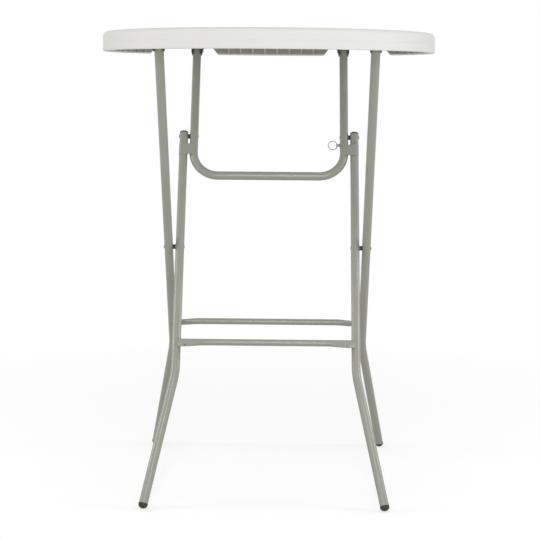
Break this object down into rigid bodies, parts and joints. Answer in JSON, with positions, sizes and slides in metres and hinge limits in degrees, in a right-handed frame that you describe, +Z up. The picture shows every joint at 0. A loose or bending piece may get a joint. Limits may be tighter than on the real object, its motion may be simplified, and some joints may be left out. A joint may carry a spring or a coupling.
{
  "type": "folding bar table",
  "caption": "Round moulded high bar table on crossed tube frames that fold flat under the top, held open by a U-shaped brace with a ring-pull lock pin.",
  "frame": {"origin": "on the floor under the middle of the round top", "axes": "+Z up, -Y towards the viewer of the picture, +X to the viewer's right"},
  "size_m": [0.7999, 0.8, 1.1],
  "materials": {
    "moulded_top": "fine grained white moulding",
    "frame_paint": "grey-green powder coat, half gloss",
    "black_plastic": "black satin",
    "bare_steel": "plated"
  },
  "bodies": {
    "top": {"tabletop": "moulded_top", "hinge_brackets_front": "black_plastic", "hinge_brackets_rear": "black_plastic", "hinge_pins_front": "bare_steel", "hinge_pins_rear": "bare_steel"},
    "outer_frame": {"outer_leg_left": "frame_paint", "outer_leg_right": "frame_paint", "outer_feet": "black_plastic", "rear_stretcher": "frame_paint", "cross_spacers": "black_plastic", "cross_rivets": "bare_steel"},
    "inner_frame": {"inner_leg_left": "frame_paint", "inner_leg_right": "frame_paint", "inner_feet": "black_plastic", "leg_end_caps": "black_plastic", "front_stretcher": "frame_paint", "brace_rivets_outer": "bare_steel"},
    "brace": {"brace_loop": "frame_paint", "saddle_plates": "frame_paint", "brace_spacers": "black_plastic", "brace_rivets_inner": "bare_steel", "lock_bush": "bare_steel"},
    "lock_pin": {"lock_pin": "bare_steel"},
    "pull_ring": {"pull_ring": "bare_steel"}
  },
  "joints": [
    {"name": "fold", "type": "hinge", "parent": "top", "child": "outer_frame", "pos_m": [0, -0.2525, 1.063], "axis": [1, 0, 0], "range_deg": [0, 63.22]},
    {"name": "cross_pivot", "type": "hinge", "parent": "outer_frame", "child": "inner_frame", "pos_m": [0, -0.008, 0.5785], "axis": [1, 0, 0], "range_deg": [0, 53.56]},
    {"name": "brace_hinge", "type": "hinge", "parent": "top", "child": "brace", "pos_m": [0, 0.2365, 1.063], "axis": [-1, 0, 0], "range_deg": [0, 63.22]},
    {"name": "lock_pull", "type": "slide", "parent": "brace", "child": "lock_pin", "axis": [-1, 0, 0], "range_m": [0, 0.012]},
    {"name": "ring_swing", "type": "hinge", "parent": "lock_pin", "child": "pull_ring", "pos_m": [0.17297, 0.11643, 0.82508], "axis": [0, 0.4505, 0.8928], "range_deg": [-80, 25]}
  ],
  "couplings": [
    {"joint": "cross_pivot", "follows": "fold", "ratio": 0.84709},
    {"joint": "brace_hinge", "follows": "fold", "ratio": 1}
  ]
}
